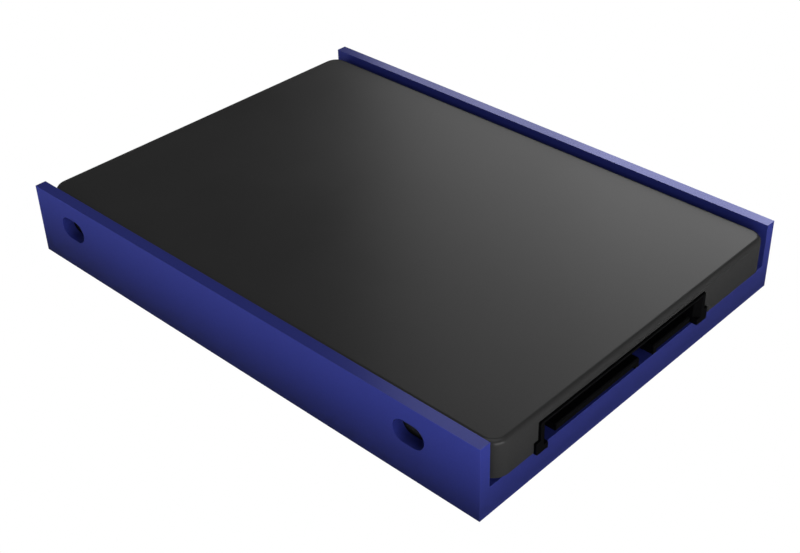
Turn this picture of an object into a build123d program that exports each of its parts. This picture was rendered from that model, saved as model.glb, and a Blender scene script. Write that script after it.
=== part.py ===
from build123d import *
import os

# A U-shaped drive tray with a 2.5 inch solid state drive lying in it, in millimetres.
# +Z is up, the drive's connector end faces -Y, and the origin is the centre of the
# tray's underside. Every sub-part is made by its own function and written to its own file.

# Joined blocks run into each other by OVERLAP, and cutting tools reach past a face by CUT
OVERLAP = 0.1
CUT = 1.0

# Tray
TRAY_LENGTH = 100.45
TRAY_WIDTH = 73.85
TRAY_HEIGHT = 13.0
TRAY_WALL = 2.0
TRAY_BASE = 5.0
SLOT_LENGTH = 6.0
SLOT_HEIGHT = 4.0
SLOT_FRONT_INSET = 13.05
SLOT_REAR_INSET = 90.85

# Drive envelope. The drive's own X is measured from its middle, which lies at DRIVE_X in the tray,
# so that its left side is close to the left wall.
DRIVE_X = -0.15
DRIVE_WIDTH = 68.7
DRIVE_FRONT_Y = -50.82
DRIVE_REAR_Y = 50.05
DRIVE_HEIGHT = 7.0
DRIVE_CORNER = 2.8
CASE_TOP_FILLET = 0.85
CASE_WALL = 1.2
CASE_ROOF = 1.0
SKIRT_GAP = 0.6
DRIVE_Z = TRAY_BASE
DRIVE_TOP_Z = DRIVE_Z + DRIVE_HEIGHT

# M3 mounting holes of the drive
M3_TAP_R = 1.25
M3_CLEAR_R = 1.6
M3_FRONT_INSET = 14.25
M3_PITCH = 76.6
M3_SIDE_Z = DRIVE_Z + 3.0
M3_SIDE_DEPTH = 2.0
M3_SINK_R = 1.55
M3_SINK_DEPTH = 0.3
M3_BOTTOM_X = 30.86
M3_BOTTOM_DEPTH = 3.0
M3_BOSS_INNER_X = 27.0
M3_BOSS_HALF = 4.0
M3_ROWS = (DRIVE_FRONT_Y + M3_FRONT_INSET, DRIVE_FRONT_Y + M3_FRONT_INSET + M3_PITCH)

# Base plate, its screws and its label
PLATE_THICK = 1.0
PLATE_GAP = 0.15
PLATE_TOP_Z = DRIVE_Z + PLATE_THICK
CASE_POST_X = 29.5
CASE_POST_ROWS = (-45.5, 46.0)
CASE_POST_R = 2.4
CASE_SCREW_R = 0.8
CASE_SCREW_HEAD_R = 1.6
CASE_SCREW_HEAD = 0.7
CASE_SCREW_LENGTH = 4.0
CASE_SCREW_HOLE = 4.0
CASE_RECESS_REACH = 0.9
CASE_RECESS_HALF = 0.18
CASE_RECESS_DEPTH = 0.35
LABEL_THICK = 0.08
LABEL_LENGTH = 62.0
LABEL_WIDTH = 46.0
LABEL_CORNER = 2.0

# Circuit board
BOARD_Z = PLATE_TOP_Z + 0.55
BOARD_THICK = 1.0
BOARD_TOP_Z = BOARD_Z + BOARD_THICK
BOARD_HALF_WIDTH = 26.0
BOARD_FRONT_Y = -42.0
BOARD_REAR_Y = 44.0
BOARD_SCREWS = ((23.0, -38.0), (-23.0, -31.5), (-23.0, 40.0), (23.0, 40.0))
BOARD_SCREW_R = 0.7
BOARD_SCREW_HEAD_R = 1.5
BOARD_SCREW_HEAD = 0.7
BOARD_SCREW_HEAD_ROUND = 0.3
BOARD_SCREW_CLEAR = 0.2
BOARD_SCREW_END_Z = DRIVE_Z + 0.5
BOARD_SCREW_HOLE_Z = DRIVE_Z + 0.3
BOARD_RECESS_REACH = 0.8
BOARD_RECESS_HALF = 0.16
BOARD_RECESS_DEPTH = 0.4
BOARD_CORNER = 1.0
STANDOFF_R = 2.0

# Plug connector: seven signal and fifteen power contacts on one split tongue
PLUG_X = -4.65
PLUG_FRONT_Y = -51.13
PLUG_CAVITY_Y = -44.9
PLUG_REAR_Y = BOARD_FRONT_Y - 0.05
PLUG_HALF = 20.43
PLUG_FOOT_HALF = 21.35
PLUG_INNER_HALF = 18.68
PLUG_FOOT_TOP_Z = DRIVE_Z + 2.2
PLUG_TOP_Z = DRIVE_Z + 5.36
PLUG_ROOF = 0.36
PLUG_CLEAR = 0.18
PLUG_LEAD_IN = 0.95
PLUG_FOOT_ROUND = 0.35
PLUG_LIP_TOP_Z = DRIVE_Z + 1.1
PLUG_BLOCK_Z = DRIVE_Z + 0.3
TONGUE_HALF = 16.695
TONGUE_THICK = 1.23
TONGUE_Z = DRIVE_Z + 1.4
TONGUE_FRONT_Y = -50.9
TONGUE_GAP_X = PLUG_X + 5.08
TONGUE_GAP = 3.76
KEY_WIDTH = 0.85
KEY_DEPTH = 0.4
TONGUE_BEVEL = 0.2
CONTACT_PITCH = 1.27
CONTACT_WIDTH = 0.84
CONTACT_THICK = BOARD_Z - TONGUE_Z
CONTACT_FRONT_Y = -50.5
CONTACT_REAR_Y = -39.6
POWER_CONTACTS = 15
SIGNAL_CONTACTS = 7
FIRST_POWER_X = PLUG_X - 15.875
FIRST_SIGNAL_X = FIRST_POWER_X + (POWER_CONTACTS - 1) * CONTACT_PITCH + 6.35
LUG_WIDTH = 4.0
LUG_HEIGHT = 1.7
LUG_REAR_Y = -38.6
PEG_R = 0.6
PEG_X = 18.5
PEG_Y = -40.3
PEG_BELOW_BOARD = 0.3
PEG_ABOVE_BOARD = 1.0

# Chips and small parts on the board: centre x, centre y, size x, size y, height.
# A row of ceramic capacitors: first x, y, count.
CONTROLLER = (2.0, -20.0, 14.0, 14.0, 1.2)
MEMORY = (18.0, -20.0, 8.0, 12.5, 1.0)
REGULATOR = (-17.5, -24.0, 5.0, 5.0, 0.9)
CRYSTAL = (-9.0, -15.0, 2.5, 3.2, 0.8)
FLASH_SIZE = (12.0, 18.0, 1.0)
FLASH_CENTRES = ((-10.0, 2.0), (10.0, 2.0), (-10.0, 26.0), (10.0, 26.0))
INDUCTOR_SIZE = (4.0, 4.0, 1.8)
INDUCTOR_CENTRES = ((-17.5, -32.0), (-11.5, -32.0), (-11.5, -24.0))
TANTALUM_SIZE = (2.8, 3.5, 1.9)
TANTALUM_CENTRES = tuple((-22.5, -12.0 + 5.0 * i) for i in range(5))
CERAMIC_SIZE = (1.6, 0.8, 0.8)
CERAMIC_PITCH = 2.5
CERAMIC_ROWS = ((-3.0, -9.9, 5), (13.5, -11.5, 4), (-5.0, -29.0, 6), (-4.0, -36.5, 6), (-10.0, 14.0, 9))
CHIP_BEVEL = 0.08
PAD_MARGIN = 1.0
PEDESTAL_MARGIN = 1.5
CONTROLLER_PAD = 0.6
FLASH_PAD = 1.4


def block(x0, x1, y0, y1, z0, z1):
    """A box between two corners."""
    return Pos((x0 + x1) / 2, (y0 + y1) / 2, (z0 + z1) / 2) * Box(x1 - x0, y1 - y0, z1 - z0)


def post(x, y, radius, z0, z1):
    """An upright round bar."""
    return Pos(x, y, (z0 + z1) / 2) * Cylinder(radius, z1 - z0)


def cross_bar(y, z, radius, x0, x1):
    """A round bar along X."""
    return Pos((x0 + x1) / 2, y, z) * Rot(0, 90, 0) * Cylinder(radius, x1 - x0)


def mirrored(half):
    """A solid and its mirror image across the drive's middle plane."""
    return half + mirror(half, about=Plane.YZ)


def write(name, shape):
    """Write one node, labelled with its name."""
    shape.label = name
    export_step(shape, os.path.join("parts", name + ".step"))


def in_drive(*solids):
    """One or more solids of the drive, moved to where it lies in the tray, as one node."""
    moved = [Pos(DRIVE_X, 0, 0) * solid for solid in solids]
    return moved[0] if len(moved) == 1 else Compound(children=moved)


def make_tray():
    """Thick base, two thin side walls with two slots each, both ends open."""
    half_w = TRAY_WIDTH / 2
    half_l = TRAY_LENGTH / 2
    body = block(-half_w, half_w, -half_l, half_l, 0, TRAY_HEIGHT)
    inner_w = half_w - TRAY_WALL
    body -= block(-inner_w, inner_w, -half_l - CUT, half_l + CUT, TRAY_BASE, TRAY_HEIGHT + CUT)
    for inset in (SLOT_FRONT_INSET, SLOT_REAR_INSET):
        place = Plane.YZ * Pos(-half_l + inset, M3_SIDE_Z)
        body -= extrude(place * SlotOverall(SLOT_LENGTH, SLOT_HEIGHT), amount=half_w + CUT, both=True)
    return body


def case_shell():
    """The hollow cover: rounded outside, open below."""
    half = DRIVE_WIDTH / 2
    outer = block(-half, half, DRIVE_FRONT_Y, DRIVE_REAR_Y, DRIVE_Z + SKIRT_GAP, DRIVE_TOP_Z)
    outer = fillet(outer.edges().filter_by(Axis.Z), DRIVE_CORNER)
    outer = fillet(outer.faces().sort_by(Axis.Z)[-1].edges(), CASE_TOP_FILLET)
    inner = block(
        -half + CASE_WALL, half - CASE_WALL,
        DRIVE_FRONT_Y + CASE_WALL, DRIVE_REAR_Y - CASE_WALL,
        DRIVE_Z, DRIVE_TOP_Z - CASE_ROOF,
    )
    return outer - fillet(inner.edges().filter_by(Axis.Z), DRIVE_CORNER - CASE_WALL)


def case_pedestals():
    """Thickened patches of the roof that meet the thermal pads."""
    roof_z = DRIVE_TOP_Z - CASE_ROOF + OVERLAP
    x, y, size_x, size_y, height = CONTROLLER
    half_x = size_x / 2 + PEDESTAL_MARGIN
    half_y = size_y / 2 + PEDESTAL_MARGIN
    low = BOARD_TOP_Z + height + CONTROLLER_PAD
    over_controller = block(x - half_x, x + half_x, y - half_y, y + half_y, low, roof_z)
    size_x, size_y, height = FLASH_SIZE
    half_x = max(c[0] for c in FLASH_CENTRES) + size_x / 2
    y0 = min(c[1] for c in FLASH_CENTRES) - size_y / 2
    y1 = max(c[1] for c in FLASH_CENTRES) + size_y / 2
    low = BOARD_TOP_Z + height + FLASH_PAD
    return over_controller + block(-half_x, half_x, y0, y1, low, roof_z)


def side_countersink(y):
    """The cone that opens out a side thread, on the +X side."""
    place = Pos(DRIVE_WIDTH / 2 - M3_SINK_DEPTH / 2, y, M3_SIDE_Z) * Rot(0, 90, 0)
    return place * Cone(M3_TAP_R, M3_SINK_R, M3_SINK_DEPTH)


def make_drive_case():
    """Cover with screw bosses inside, the connector opening and the M3 holes."""
    half = DRIVE_WIDTH / 2
    roof_z = DRIVE_TOP_Z - CASE_ROOF + OVERLAP
    bosses = None
    for y in M3_ROWS:
        y0 = y - M3_BOSS_HALF
        y1 = y + M3_BOSS_HALF
        boss = mirrored(block(M3_BOSS_INNER_X, half - CASE_WALL + OVERLAP, y0, y1, PLATE_TOP_Z, roof_z))
        bosses = boss if bosses is None else bosses + boss
    for y in CASE_POST_ROWS:
        bosses += mirrored(post(CASE_POST_X, y, CASE_POST_R, PLATE_TOP_Z, roof_z))
    case = case_shell() + bosses + case_pedestals()
    for y in M3_ROWS:
        case -= mirrored(cross_bar(y, M3_SIDE_Z, M3_TAP_R, half - M3_SIDE_DEPTH, half + CUT))
        case -= mirrored(side_countersink(y))
        case -= mirrored(post(M3_BOTTOM_X, y, M3_TAP_R, PLATE_TOP_Z - CUT, PLATE_TOP_Z + M3_BOTTOM_DEPTH))
    for y in CASE_POST_ROWS:
        hole_top = PLATE_TOP_Z + CASE_SCREW_HOLE
        case -= mirrored(post(CASE_POST_X, y, CASE_SCREW_R, PLATE_TOP_Z - CUT, hole_top))
    wide = PLUG_FOOT_HALF + PLUG_CLEAR
    slim = PLUG_HALF + PLUG_CLEAR
    y0 = DRIVE_FRONT_Y - CUT
    y1 = DRIVE_FRONT_Y + CASE_WALL + OVERLAP
    case -= block(PLUG_X - wide, PLUG_X + wide, y0, y1, DRIVE_Z, PLUG_FOOT_TOP_Z + PLUG_CLEAR)
    case -= block(PLUG_X - slim, PLUG_X + slim, y0, y1, DRIVE_Z, PLUG_TOP_Z + PLUG_CLEAR)
    return case


def make_base_plate():
    """Flat plate let into the open bottom of the case, with the board's standoffs."""
    half = DRIVE_WIDTH / 2 - CASE_WALL - PLATE_GAP
    y0 = DRIVE_FRONT_Y + CASE_WALL + PLATE_GAP
    y1 = DRIVE_REAR_Y - CASE_WALL - PLATE_GAP
    plate = block(-half, half, y0, y1, DRIVE_Z, PLATE_TOP_Z)
    plate = fillet(plate.edges().filter_by(Axis.Z), DRIVE_CORNER - CASE_WALL - PLATE_GAP)
    wide = PLUG_FOOT_HALF + PLUG_CLEAR
    plug_back = PLUG_REAR_Y + PLUG_CLEAR
    plate -= block(PLUG_X - wide, PLUG_X + wide, y0 - CUT, plug_back, DRIVE_Z - CUT, PLATE_TOP_Z + CUT)
    for y in M3_ROWS:
        plate -= mirrored(post(M3_BOTTOM_X, y, M3_CLEAR_R, DRIVE_Z - CUT, PLATE_TOP_Z + CUT))
    for x, y in case_screw_places():
        plate -= case_screw_blank(x, y)
    for x, y in BOARD_SCREWS:
        plate += post(x, y, STANDOFF_R, PLATE_TOP_Z - OVERLAP, BOARD_Z)
        plate -= post(x, y, BOARD_SCREW_R, BOARD_SCREW_HOLE_Z, BOARD_Z + CUT)
    return plate - make_label()


def make_label():
    """Blank label let flush into the plate's underside."""
    half_w = LABEL_WIDTH / 2
    half_l = LABEL_LENGTH / 2
    label = block(-half_w, half_w, -half_l, half_l, DRIVE_Z, DRIVE_Z + LABEL_THICK)
    return fillet(label.edges().filter_by(Axis.Z), LABEL_CORNER)


def case_screw_places():
    """Centres of the four screws that hold the base plate."""
    return [(x, y) for y in CASE_POST_ROWS for x in (-CASE_POST_X, CASE_POST_X)]


def case_screw_blank(x, y):
    """Countersunk screw, pointing up, before its cross recess is cut."""
    head = Cone(CASE_SCREW_HEAD_R, CASE_SCREW_R, CASE_SCREW_HEAD)
    shank = post(x, y, CASE_SCREW_R, DRIVE_Z + CASE_SCREW_HEAD - OVERLAP, DRIVE_Z + CASE_SCREW_LENGTH)
    return Pos(x, y, DRIVE_Z + CASE_SCREW_HEAD / 2) * head + shank


def cross_recess(x, y, reach, half_slot, z0, z1):
    """The cross-shaped tool that cuts a screw's drive recess."""
    cross = block(x - reach, x + reach, y - half_slot, y + half_slot, z0, z1)
    return cross + block(x - half_slot, x + half_slot, y - reach, y + reach, z0, z1)


def case_screw_solids():
    """Countersunk screws from below, through the plate into the case's posts."""
    screws = []
    for x, y in case_screw_places():
        recess = cross_recess(
            x, y, CASE_RECESS_REACH, CASE_RECESS_HALF, DRIVE_Z - CUT, DRIVE_Z + CASE_RECESS_DEPTH,
        )
        screws.append(case_screw_blank(x, y) - recess)
    return screws


def board_screw_solids():
    """Pan-head screws from above, through the board into the plate's standoffs."""
    screws = []
    top = BOARD_TOP_Z + BOARD_SCREW_HEAD
    for x, y in BOARD_SCREWS:
        head = post(x, y, BOARD_SCREW_HEAD_R, BOARD_TOP_Z, top)
        head = fillet(head.edges().sort_by(Axis.Z)[-1], BOARD_SCREW_HEAD_ROUND)
        shank = post(x, y, BOARD_SCREW_R, BOARD_SCREW_END_Z, BOARD_TOP_Z + OVERLAP)
        recess = cross_recess(
            x, y, BOARD_RECESS_REACH, BOARD_RECESS_HALF, top - BOARD_RECESS_DEPTH, top + CUT,
        )
        screws.append(head + shank - recess)
    return screws


def make_board():
    """Circuit board with holes for its screws and the connector's pegs."""
    board = block(-BOARD_HALF_WIDTH, BOARD_HALF_WIDTH, BOARD_FRONT_Y, BOARD_REAR_Y, BOARD_Z, BOARD_TOP_Z)
    board = fillet(board.edges().filter_by(Axis.Z), BOARD_CORNER)
    for x, y in BOARD_SCREWS:
        board -= post(x, y, BOARD_SCREW_R + BOARD_SCREW_CLEAR, BOARD_Z - CUT, BOARD_TOP_Z + CUT)
    for solid in peg_solids():
        board -= solid
    return board


def peg_solids():
    """Metal pegs that pin the connector's rear lugs to the board."""
    xs = (PLUG_X - PEG_X, PLUG_X + PEG_X)
    z0 = BOARD_Z - PEG_BELOW_BOARD
    z1 = BOARD_TOP_Z + PEG_ABOVE_BOARD
    return [post(x, PEG_Y, PEG_R, z0, z1) for x in xs]


def contact_solids(first_x, count):
    """Flat contact strips under the tongue, running back to pads under the board."""
    strips = []
    for i in range(count):
        x = first_x + i * CONTACT_PITCH
        strips.append(block(
            x - CONTACT_WIDTH / 2, x + CONTACT_WIDTH / 2,
            CONTACT_FRONT_Y, CONTACT_REAR_Y, TONGUE_Z, TONGUE_Z + CONTACT_THICK,
        ))
    return strips


def tongue(x0, x1, key_x):
    """One blade of the split tongue with its key, front edges chamfered."""
    blade = block(x0, x1, TONGUE_FRONT_Y, PLUG_CAVITY_Y, TONGUE_Z, TONGUE_Z + TONGUE_THICK)
    front = blade.faces().sort_by(Axis.Y)[0]
    blade = chamfer(front.edges().filter_by(Axis.X), TONGUE_BEVEL)
    z0 = TONGUE_Z - KEY_DEPTH
    z1 = TONGUE_Z + TONGUE_THICK / 2
    return blade + block(key_x, key_x + KEY_WIDTH, TONGUE_FRONT_Y, PLUG_CAVITY_Y, z0, z1)


def plug_arm():
    """Right-hand end guide: a tall arm with a lead-in, on a wider foot with a full-width lip."""
    x = PLUG_X
    arm = block(x + PLUG_INNER_HALF, x + PLUG_HALF, PLUG_FRONT_Y, PLUG_REAR_Y, DRIVE_Z, PLUG_TOP_Z)
    foot = block(
        x + PLUG_INNER_HALF, x + PLUG_FOOT_HALF, PLUG_FRONT_Y, PLUG_REAR_Y, DRIVE_Z, PLUG_FOOT_TOP_Z,
    )
    outer_edge = foot.faces().sort_by(Axis.X)[-1].edges().sort_by(Axis.Z)[0]
    guide = arm + fillet(outer_edge, PLUG_FOOT_ROUND)
    inner_edge = guide.faces().sort_by(Axis.X)[0].edges().filter_by(Axis.Z).sort_by(Axis.Y)[0]
    guide = chamfer(inner_edge, PLUG_LEAD_IN)
    lip = block(x + PLUG_INNER_HALF, x + PLUG_HALF, PLUG_FRONT_Y, PLUG_REAR_Y, DRIVE_Z, PLUG_LIP_TOP_Z)
    lug = block(
        x + PLUG_HALF - LUG_WIDTH, x + PLUG_HALF,
        PLUG_REAR_Y - OVERLAP, LUG_REAR_Y, BOARD_TOP_Z, BOARD_TOP_Z + LUG_HEIGHT,
    )
    return guide + lip + lug


def make_plug():
    """Connector moulding: two end guides, a roof, a rear block and the split tongue."""
    x = PLUG_X
    right = plug_arm()
    body = right + mirror(right, about=Plane.YZ.offset(x))
    x0 = x - PLUG_HALF
    x1 = x + PLUG_HALF
    body += block(x0, x1, PLUG_FRONT_Y, PLUG_REAR_Y, PLUG_TOP_Z - PLUG_ROOF, PLUG_TOP_Z)
    body += block(x0, x1, PLUG_CAVITY_Y, PLUG_REAR_Y, PLUG_BLOCK_Z, PLUG_TOP_Z)
    gap0 = TONGUE_GAP_X - TONGUE_GAP / 2
    gap1 = TONGUE_GAP_X + TONGUE_GAP / 2
    body += tongue(x - TONGUE_HALF, gap0, gap0 - KEY_WIDTH)
    body += tongue(gap1, x + TONGUE_HALF, gap1)
    strips = contact_solids(FIRST_POWER_X, POWER_CONTACTS)
    strips += contact_solids(FIRST_SIGNAL_X, SIGNAL_CONTACTS)
    for solid in strips + peg_solids():
        body -= solid
    return body


def chip(x, y, size_x, size_y, height):
    """Flat chip package standing on the board, its top edges chamfered."""
    half_x = size_x / 2
    half_y = size_y / 2
    body = block(x - half_x, x + half_x, y - half_y, y + half_y, BOARD_TOP_Z, BOARD_TOP_Z + height)
    return chamfer(body.faces().sort_by(Axis.Z)[-1].edges(), CHIP_BEVEL)


def ceramic_solids():
    """Small ceramic capacitors in rows beside the chips that they serve."""
    return [
        chip(x + CERAMIC_PITCH * i, y, *CERAMIC_SIZE)
        for x, y, count in CERAMIC_ROWS
        for i in range(count)
    ]


def thermal_pad(x, y, size_x, size_y, low, thickness):
    """Soft gap pad between a chip and the case's roof."""
    half_x = size_x / 2 - PAD_MARGIN
    half_y = size_y / 2 - PAD_MARGIN
    return block(x - half_x, x + half_x, y - half_y, y + half_y, low, low + thickness)


def flash_pad_solids():
    """One gap pad on each flash chip."""
    size_x, size_y, height = FLASH_SIZE
    return [thermal_pad(x, y, size_x, size_y, BOARD_TOP_Z + height, FLASH_PAD) for x, y in FLASH_CENTRES]


def main():
    os.makedirs("parts", exist_ok=True)
    write("tray", make_tray())
    write("drive_case", in_drive(make_drive_case()))
    write("drive_base_plate", in_drive(make_base_plate()))
    write("base_label", in_drive(make_label()))
    write("case_screws", in_drive(*case_screw_solids()))
    write("circuit_board", in_drive(make_board()))
    write("board_screws", in_drive(*board_screw_solids()))
    write("connector_housing", in_drive(make_plug()))
    write("power_contacts", in_drive(*contact_solids(FIRST_POWER_X, POWER_CONTACTS)))
    write("signal_contacts", in_drive(*contact_solids(FIRST_SIGNAL_X, SIGNAL_CONTACTS)))
    write("connector_pegs", in_drive(*peg_solids()))
    write("controller_chip", in_drive(chip(*CONTROLLER)))
    write("memory_chip", in_drive(chip(*MEMORY)))
    write("power_regulator", in_drive(chip(*REGULATOR)))
    write("clock_crystal", in_drive(chip(*CRYSTAL)))
    for i, (x, y) in enumerate(FLASH_CENTRES):
        write("flash_chip_%d" % (i + 1), in_drive(chip(x, y, *FLASH_SIZE)))
    write("power_inductors", in_drive(*[chip(x, y, *INDUCTOR_SIZE) for x, y in INDUCTOR_CENTRES]))
    write("tantalum_capacitors", in_drive(*[chip(x, y, *TANTALUM_SIZE) for x, y in TANTALUM_CENTRES]))
    write("ceramic_capacitors", in_drive(*ceramic_solids()))
    x, y, size_x, size_y, height = CONTROLLER
    pad = thermal_pad(x, y, size_x, size_y, BOARD_TOP_Z + height, CONTROLLER_PAD)
    write("controller_thermal_pad", in_drive(pad))
    write("flash_thermal_pads", in_drive(*flash_pad_solids()))


main()
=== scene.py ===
"""Looks for the drive tray with its solid-state drive: materials, floor, light and camera, all in metres."""
import math

import bpy
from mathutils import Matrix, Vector


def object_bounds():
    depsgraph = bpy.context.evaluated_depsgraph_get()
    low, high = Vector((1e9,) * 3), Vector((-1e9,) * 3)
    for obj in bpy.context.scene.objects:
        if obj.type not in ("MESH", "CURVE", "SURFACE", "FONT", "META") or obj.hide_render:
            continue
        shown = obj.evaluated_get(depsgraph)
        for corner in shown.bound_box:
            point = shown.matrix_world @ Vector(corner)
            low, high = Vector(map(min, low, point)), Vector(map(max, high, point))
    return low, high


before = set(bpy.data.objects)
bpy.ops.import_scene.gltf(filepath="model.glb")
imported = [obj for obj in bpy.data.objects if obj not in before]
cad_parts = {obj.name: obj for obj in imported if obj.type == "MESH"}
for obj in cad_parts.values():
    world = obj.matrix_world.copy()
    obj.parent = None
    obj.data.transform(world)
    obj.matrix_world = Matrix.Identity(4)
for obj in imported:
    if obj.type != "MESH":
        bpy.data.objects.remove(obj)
CAD_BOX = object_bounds()

# Camera: its place in metres, its lens and sensor in millimetres, and its shifts in sensor widths.
CAMERA_PLACE = (-0.13567, -0.13416, 0.13092)
CAMERA_HEADING = math.radians(48.53)
CAMERA_DIP = math.radians(33.97)
LENS = 60.14
SENSOR = 36.0
SHIFT_X = -0.0763
SHIFT_Y = -0.0276
CLIP_START = 0.01
CLIP_END = 20.0

BLACK = (0.0, 0.0, 0.0)
WHITE = (1.0, 1.0, 1.0)

# Finishes. A noise factor mostly lies between the first two values. The details say how much fine
# structure the slow drift and the grain hold. GLOSS_DRIFT is the share by which roughness strays.
NOISE_LOW = 0.15
NOISE_HIGH = 0.85
CLOUD_DETAIL = 3.0
GRAIN_DETAIL = 2.0
GLOSS_DRIFT = 0.10

# Rubbed edges: their width, how far the tone goes over to the worn one, the cosine between the rounded
# normal and the surface's own at which an edge counts as sharp, and how many rays find the rounded one.
WORN_EDGE = 0.00025
WORN_SHARE = 0.5
SHARP_COSINE = 0.8
EDGE_SAMPLES = 4

# The board's tracks are the joints of a brick pattern, whose bricks are half a unit by a quarter. A unit
# is 1 / TRACK_SCALE metres, so the bricks are 1.7 x 0.8 mm. The half width is in those units too.
TRACK_SCALE = 300.0
TRACK_HALF_WIDTH = 0.03
TRACK_GREEN = (0.022, 0.17, 0.07)

# Small parts: material, nodes, colour, roughness, metallic, grain size and grain depth.
FLASH_CHIPS = ["flash_chip_%d" % number for number in (1, 2, 3, 4)]
CHIPS = ["controller_chip", "memory_chip", "power_regulator"] + FLASH_CHIPS
PADS = ["controller_thermal_pad", "flash_thermal_pads"]
SMALL_PARTS = (
    ("label_white", ["base_label"], (0.70, 0.70, 0.68), 0.5, 0.0, 0.0004, 0.000004),
    ("screw_black", ["case_screws"], (0.03, 0.03, 0.03), 0.35, 0.8, 0.0003, 0.000002),
    ("screw_steel", ["board_screws"], (0.60, 0.60, 0.62), 0.3, 1.0, 0.0002, 0.000002),
    ("peg_tin", ["connector_pegs"], (0.65, 0.65, 0.65), 0.35, 1.0, 0.0003, 0.000002),
    ("chip_black", CHIPS, (0.02, 0.02, 0.02), 0.55, 0.0, 0.00015, 0.000005),
    ("crystal_metal", ["clock_crystal"], (0.65, 0.65, 0.66), 0.3, 1.0, 0.0002, 0.000001),
    ("inductor_grey", ["power_inductors"], (0.08, 0.08, 0.085), 0.6, 0.0, 0.0002, 0.00001),
    ("tantalum_yellow", ["tantalum_capacitors"], (0.55, 0.30, 0.05), 0.45, 0.0, 0.0002, 0.000004),
    ("ceramic_tan", ["ceramic_capacitors"], (0.30, 0.19, 0.10), 0.5, 0.0, 0.0001, 0.000002),
    ("pad_blue", PADS, (0.20, 0.36, 0.50), 0.8, 0.0, 0.0005, 0.00002),
)

# Stage: the floor's half width, and the radiance of the sheet that lights the object from the floor.
FLOOR_HALF = 3.0
FLOOR_GLOW = 3.4
# How far each level sheet lies below the tray's underside.
FLOOR_DROP = 0.00002
UNDER_DROP = 0.00005
CARD_DROP = 0.0001
BOUNCE_DROP = 0.0003
# How far the dark card reaches out past the object's box, its tone, and how far the glow under the tray
# stays inside the box. The card is painted shade: a dark sheet that stands in for shade on the floor round
# the object.
CARD_MARGIN = 0.020
SHADE_CARD_TONE = 0.02
UNDER_INSET = 0.0005
# The white dome round it all.
BACKDROP_RADIUS = 6.0
BACKDROP_SEGMENTS = 48

# The kinds of ray that a stage piece is hidden from.
ALL_BUT_CAMERA = ("visible_diffuse", "visible_glossy", "visible_transmission", "visible_shadow")
CAMERA_AND_MIRROR = ("visible_camera", "visible_glossy")

# Light: an even sky, and soft panels at one distance. Each has its heading, elevation, width and height
# in degrees as seen from the object, then its radiance.
SKY_TONE = 0.07
PANEL_DISTANCE = 1.2
PANELS = (
    (47.2, 18.5, 5.2, 31.0, 1.4),
    (53.5, 18.5, 6.6, 31.0, 1.9),
    (62.5, 18.5, 10.4, 31.0, 3.1),
    (72.0, 18.5, 7.6, 31.0, 4.4),
    (47.2, 40.0, 4.2, 12.0, 0.9),
    (53.5, 40.0, 5.4, 12.0, 1.1),
    (66.5, 40.0, 14.5, 12.0, 1.6),
    (198.0, 17.0, 46.0, 28.0, 4.0),
    (270.0, 11.0, 58.0, 18.0, 0.55),
    (-15.0, 54.0, 40.0, 20.0, 0.3),
    (0.0, 90.0, 40.0, 40.0, 1.7),
)


# ---------------------------------------------------------------- camera

def make_camera():
    """A camera without roll that looks down at the plug end over the near wall."""
    data = bpy.data.cameras.new("camera")
    data.lens = LENS
    data.sensor_width = SENSOR
    data.shift_x = SHIFT_X
    data.shift_y = SHIFT_Y
    data.clip_start = CLIP_START
    data.clip_end = CLIP_END
    camera = bpy.data.objects.new("camera", data)
    camera.location = CAMERA_PLACE
    camera.rotation_euler = (math.pi / 2 - CAMERA_DIP, 0.0, -CAMERA_HEADING)
    bpy.context.scene.collection.objects.link(camera)
    bpy.context.scene.camera = camera


# ---------------------------------------------------------------- what the materials are built from

def shader(name, colour, roughness, metallic=0.0, specular=0.5):
    """A principled material and its shader node."""
    material = bpy.data.materials.new(name)
    material.use_nodes = True
    node = material.node_tree.nodes["Principled BSDF"]
    node.inputs["Base Color"].default_value = (*colour, 1.0)
    node.inputs["Roughness"].default_value = roughness
    node.inputs["Metallic"].default_value = metallic
    node.inputs["Specular IOR Level"].default_value = specular
    return material, node


def object_noise(tree, size, detail, stretch):
    """The factor of a noise in object space whose cells are `size` metres across."""
    place = tree.nodes.new("ShaderNodeTexCoord")
    scaling = tree.nodes.new("ShaderNodeMapping")
    scaling.inputs["Scale"].default_value = stretch
    noise = tree.nodes.new("ShaderNodeTexNoise")
    noise.inputs["Scale"].default_value = 1.0 / size
    noise.inputs["Detail"].default_value = detail
    tree.links.new(place.outputs["Object"], scaling.inputs["Vector"])
    tree.links.new(scaling.outputs["Vector"], noise.inputs["Vector"])
    return noise.outputs["Fac"]


def spread_to(tree, factor, low, high):
    """A noise factor spread over the range from low to high."""
    ramp = tree.nodes.new("ShaderNodeMapRange")
    ramp.interpolation_type = "SMOOTHERSTEP"
    ramp.inputs["From Min"].default_value = NOISE_LOW
    ramp.inputs["From Max"].default_value = NOISE_HIGH
    ramp.inputs["To Min"].default_value = low
    ramp.inputs["To Max"].default_value = high
    tree.links.new(factor, ramp.inputs["Value"])
    return ramp.outputs["Result"]


def product(tree, first, second):
    """Two number outputs multiplied."""
    times = tree.nodes.new("ShaderNodeMath")
    times.operation = "MULTIPLY"
    tree.links.new(first, times.inputs[0])
    tree.links.new(second, times.inputs[1])
    return times.outputs["Value"]


def scaled(tree, colour, factor):
    """A colour times a number output."""
    scale = tree.nodes.new("ShaderNodeVectorMath")
    scale.operation = "SCALE"
    scale.inputs[0].default_value = colour
    tree.links.new(factor, scale.inputs["Scale"])
    return scale.outputs["Vector"]


def blended(tree, body, colour, share):
    """A colour output that goes over to `colour` as the output `share` goes from 0 to 1."""
    blend = tree.nodes.new("ShaderNodeMix")
    blend.data_type = "RGBA"
    blend.inputs["B"].default_value = (*colour, 1.0)
    tree.links.new(share, blend.inputs["Factor"])
    tree.links.new(body, blend.inputs["A"])
    return blend.outputs["Result"]


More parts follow.
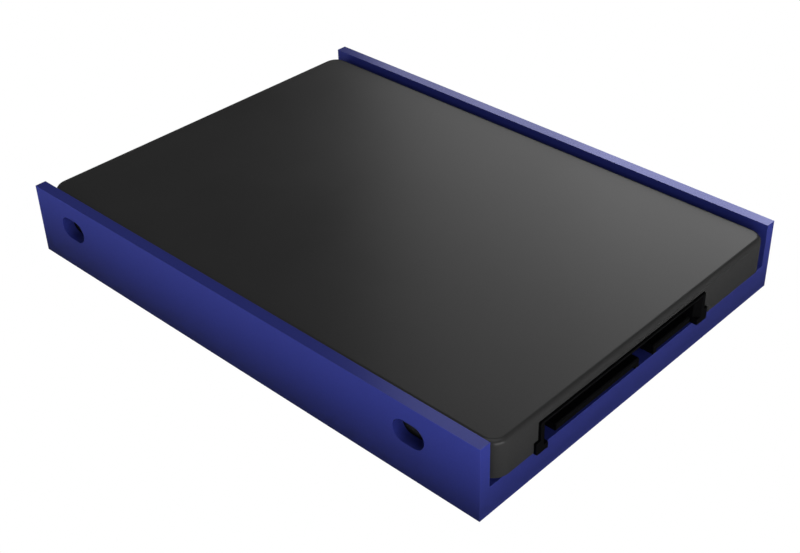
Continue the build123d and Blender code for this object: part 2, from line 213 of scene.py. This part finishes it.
def edge_mask(tree):
    """About 1 on sharp edges, over the width of WORN_EDGE, and 0 on flat faces."""
    rounded = tree.nodes.new("ShaderNodeBevel")
    rounded.samples = EDGE_SAMPLES
    rounded.inputs["Radius"].default_value = WORN_EDGE
    surface = tree.nodes.new("ShaderNodeNewGeometry")
    match = tree.nodes.new("ShaderNodeVectorMath")
    match.operation = "DOT_PRODUCT"
    tree.links.new(rounded.outputs["Normal"], match.inputs[0])
    tree.links.new(surface.outputs["Normal"], match.inputs[1])
    ramp = tree.nodes.new("ShaderNodeMapRange")
    ramp.inputs["From Min"].default_value = 1.0
    ramp.inputs["From Max"].default_value = SHARP_COSINE
    tree.links.new(match.outputs["Value"], ramp.inputs["Value"])
    return ramp.outputs["Result"]


def finish_surface(name, colour, roughness, metallic=0.0, specular=0.5, drift=0.04, drift_size=0.02,
                   grain_size=0.0003, grain_depth=0.000004, stretch=(1.0, 1.0, 1.0), worn=None):
    """A material whose tone and gloss drift over its faces, with a grain and, if `worn`, rubbed edges."""
    material, node = shader(name, colour, roughness, metallic, specular)
    tree = material.node_tree
    cloud = object_noise(tree, drift_size, CLOUD_DETAIL, stretch)
    grain = object_noise(tree, grain_size, GRAIN_DETAIL, stretch)
    slow_tone = spread_to(tree, cloud, 1.0 - drift, 1.0 + drift)
    fine_tone = spread_to(tree, grain, 1.0 - drift, 1.0 + drift)
    body = scaled(tree, colour, product(tree, slow_tone, fine_tone))
    if worn is not None:
        rubbed = product(tree, edge_mask(tree), spread_to(tree, cloud, 0.0, WORN_SHARE))
        body = blended(tree, body, worn, rubbed)
    tree.links.new(body, node.inputs["Base Color"])
    gloss = spread_to(tree, cloud, roughness * (1.0 - GLOSS_DRIFT), roughness * (1.0 + GLOSS_DRIFT))
    tree.links.new(gloss, node.inputs["Roughness"])
    bump = tree.nodes.new("ShaderNodeBump")
    bump.inputs["Strength"].default_value = 1.0
    bump.inputs["Distance"].default_value = grain_depth
    tree.links.new(grain, bump.inputs["Height"])
    tree.links.new(bump.outputs["Normal"], node.inputs["Normal"])
    return material


def dress(node_names, material):
    """Give CAD nodes one material."""
    for name in node_names:
        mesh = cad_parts[name].data
        mesh.materials.clear()
        mesh.materials.append(material)


# ---------------------------------------------------------------- the object's materials

def tray_blue():
    """Satin blue on the metal tray, a little paler where its edges are rubbed."""
    material = finish_surface("tray_blue", (0.030, 0.040, 0.255), roughness=0.17, metallic=0.25,
                              drift=0.03, drift_size=0.03, grain_size=0.00035, grain_depth=0.0000006,
                              worn=(0.07, 0.085, 0.36))
    dress(["tray"], material)


def case_grey():
    """Fine-blasted dark grey on the drive's cover, a little paler where its edges are rubbed."""
    material = finish_surface("case_grey", (0.0275, 0.0275, 0.0275), roughness=0.25, specular=0.19,
                              drift=0.05, drift_size=0.025, grain_size=0.00025, grain_depth=0.0000008,
                              worn=(0.06, 0.06, 0.06))
    dress(["drive_case"], material)


def plate_grey():
    """A duller dark grey with a deeper grain on the drive's base plate."""
    material = finish_surface("plate_grey", (0.04, 0.04, 0.04), roughness=0.45, drift=0.06,
                              grain_size=0.0003, grain_depth=0.000003)
    dress(["drive_base_plate"], material)


def connector_black():
    """Moulded black nylon on the plug."""
    material = finish_surface("connector_black", (0.0018, 0.0018, 0.0021), roughness=0.5, specular=0.07,
                              drift=0.1, drift_size=0.004, grain_size=0.00015, grain_depth=0.000002)
    dress(["connector_housing"], material)


def contact_gold():
    """Gold plating with fine rub marks along the contacts."""
    material = finish_surface("contact_gold", (0.83, 0.62, 0.25), roughness=0.25, metallic=1.0,
                              drift=0.05, drift_size=0.002, grain_size=0.0004, grain_depth=0.000001,
                              stretch=(6.0, 0.5, 6.0))
    dress(["power_contacts", "signal_contacts"], material)


def board_green():
    """Solder mask over a faint net of copper tracks."""
    material = finish_surface("board_green", (0.012, 0.10, 0.04), roughness=0.35, drift=0.05,
                              drift_size=0.006, grain_size=0.0002, grain_depth=0.000001)
    tree = material.node_tree
    place = tree.nodes.new("ShaderNodeTexCoord")
    tracks = tree.nodes.new("ShaderNodeTexBrick")
    tracks.inputs["Scale"].default_value = TRACK_SCALE
    tracks.inputs["Mortar Size"].default_value = TRACK_HALF_WIDTH
    tracks.inputs["Color1"].default_value = (*BLACK, 1.0)
    tracks.inputs["Color2"].default_value = (*BLACK, 1.0)
    tracks.inputs["Mortar"].default_value = (*WHITE, 1.0)
    tree.links.new(place.outputs["Object"], tracks.inputs["Vector"])
    base_colour = tree.nodes["Principled BSDF"].inputs["Base Color"]
    solder_mask = base_colour.links[0].from_socket
    tree.links.new(blended(tree, solder_mask, TRACK_GREEN, tracks.outputs["Color"]), base_colour)
    dress(["circuit_board"], material)


def small_parts():
    """Screws, pegs, chips, pads and the blank label."""
    for name, nodes, colour, roughness, metallic, grain_size, grain_depth in SMALL_PARTS:
        material = finish_surface(name, colour, roughness, metallic, drift=0.06, drift_size=0.005,
                                  grain_size=grain_size, grain_depth=grain_depth)
        dress(nodes, material)


# ---------------------------------------------------------------- floor and backdrop

def glow(name, strength):
    """A plain surface that glows white."""
    material, node = shader(name, BLACK, roughness=1.0, specular=0.0)
    node.inputs["Emission Color"].default_value = (*WHITE, 1.0)
    node.inputs["Emission Strength"].default_value = strength
    return material


def see_through_from_below(material):
    """The material, changed so that a view from under the floor sees the object."""
    tree = material.node_tree
    mix = tree.nodes.new("ShaderNodeMixShader")
    side = tree.nodes.new("ShaderNodeNewGeometry")
    clear = tree.nodes.new("ShaderNodeBsdfTransparent")
    tree.links.new(side.outputs["Backfacing"], mix.inputs["Fac"])
    tree.links.new(tree.nodes["Principled BSDF"].outputs["BSDF"], mix.inputs[1])
    tree.links.new(clear.outputs["BSDF"], mix.inputs[2])
    tree.links.new(mix.outputs["Shader"], tree.nodes["Material Output"].inputs["Surface"])
    return material


def hide_from(thing, rays):
    """Hide a stage piece from some kinds of ray."""
    for ray in rays:
        setattr(thing, ray, False)


def footprint(grow):
    """Two opposite corners of the object's box seen from above, moved out by `grow`."""
    low, high = CAD_BOX
    return (low[0] - grow, low[1] - grow), (high[0] + grow, high[1] + grow)


def level_sheet(name, corners, drop, material, hidden_from):
    """A level rectangle of the stage between two opposite corners, `drop` below the tray's underside."""
    (x0, y0), (x1, y1) = corners
    points = [(x0, y0, -drop), (x1, y0, -drop), (x1, y1, -drop), (x0, y1, -drop)]
    mesh = bpy.data.meshes.new(name)
    mesh.from_pydata(points, [], [(0, 1, 2, 3)])
    mesh.materials.append(material)
    sheet = bpy.data.objects.new(name, mesh)
    bpy.context.scene.collection.objects.link(sheet)
    hide_from(sheet, hidden_from)


def make_floor():
    """A white floor for the camera, a brighter one that lights the object, a dark card of painted shade
    round and under the tray, and a small glow for the tray's underside."""
    corners = ((-FLOOR_HALF, -FLOOR_HALF), (FLOOR_HALF, FLOOR_HALF))
    white = see_through_from_below(glow("floor_white", 1.0))
    level_sheet("floor", corners, FLOOR_DROP, white, ALL_BUT_CAMERA)
    bright = glow("bounce_white", FLOOR_GLOW)
    level_sheet("bounce", corners, BOUNCE_DROP, bright, CAMERA_AND_MIRROR)
    # Painted shade: a dark card where the floor would lie in shade, so the object's lower sides get less
    # light from the floor.
    dark, _ = shader("painted_shade_card", (SHADE_CARD_TONE, SHADE_CARD_TONE, SHADE_CARD_TONE), roughness=1.0, specular=0.0)
    level_sheet("card", footprint(CARD_MARGIN), CARD_DROP, dark, CAMERA_AND_MIRROR)
    under = glow("under_white", 1.0)
    level_sheet("under_glow", footprint(-UNDER_INSET), UNDER_DROP, under, CAMERA_AND_MIRROR)


def make_backdrop():
    """A white dome that only the camera sees."""
    bpy.ops.mesh.primitive_uv_sphere_add(radius=BACKDROP_RADIUS, segments=BACKDROP_SEGMENTS,
                                         ring_count=BACKDROP_SEGMENTS // 2)
    dome = bpy.context.object
    dome.name = "backdrop"
    dome.data.materials.append(glow("backdrop_white", 1.0))
    hide_from(dome, ALL_BUT_CAMERA)


# ---------------------------------------------------------------- light

def panel_span(angle):
    """The size of a panel that looks `angle` degrees wide from the object."""
    return 2 * PANEL_DISTANCE * math.tan(math.radians(angle) / 2)


def soft_panel(name, heading, elevation, wide, tall, radiance):
    """A rectangular soft light, unseen by the camera, that faces the object from PANEL_DISTANCE away."""
    turn = math.radians(heading)
    rise = math.radians(elevation)
    away = Vector((math.cos(rise) * math.sin(turn), math.cos(rise) * math.cos(turn), math.sin(rise)))
    width = panel_span(wide)
    height = panel_span(tall)
    data = bpy.data.lights.new(name, "AREA")
    data.shape = "RECTANGLE"
    data.size = width
    data.size_y = height
    data.energy = radiance * math.pi * width * height
    light = bpy.data.objects.new(name, data)
    light.location = PANEL_DISTANCE * away
    light.rotation_euler = (-away).to_track_quat("-Z", "Y").to_euler()
    light.visible_camera = False
    bpy.context.scene.collection.objects.link(light)


def make_light():
    """A dim even sky and the soft panels."""
    world = bpy.data.worlds.new("studio")
    bpy.context.scene.world = world
    world.use_nodes = True
    background = world.node_tree.nodes["Background"]
    background.inputs["Color"].default_value = (SKY_TONE, SKY_TONE, SKY_TONE, 1.0)
    background.inputs["Strength"].default_value = 1.0
    for index, panel in enumerate(PANELS):
        soft_panel("panel_%d" % index, *panel)


make_camera()
tray_blue()
case_grey()
plate_grey()
connector_black()
contact_gold()
board_green()
small_parts()
make_floor()
make_backdrop()
make_light()
bpy.context.scene.view_settings.view_transform = "Standard"
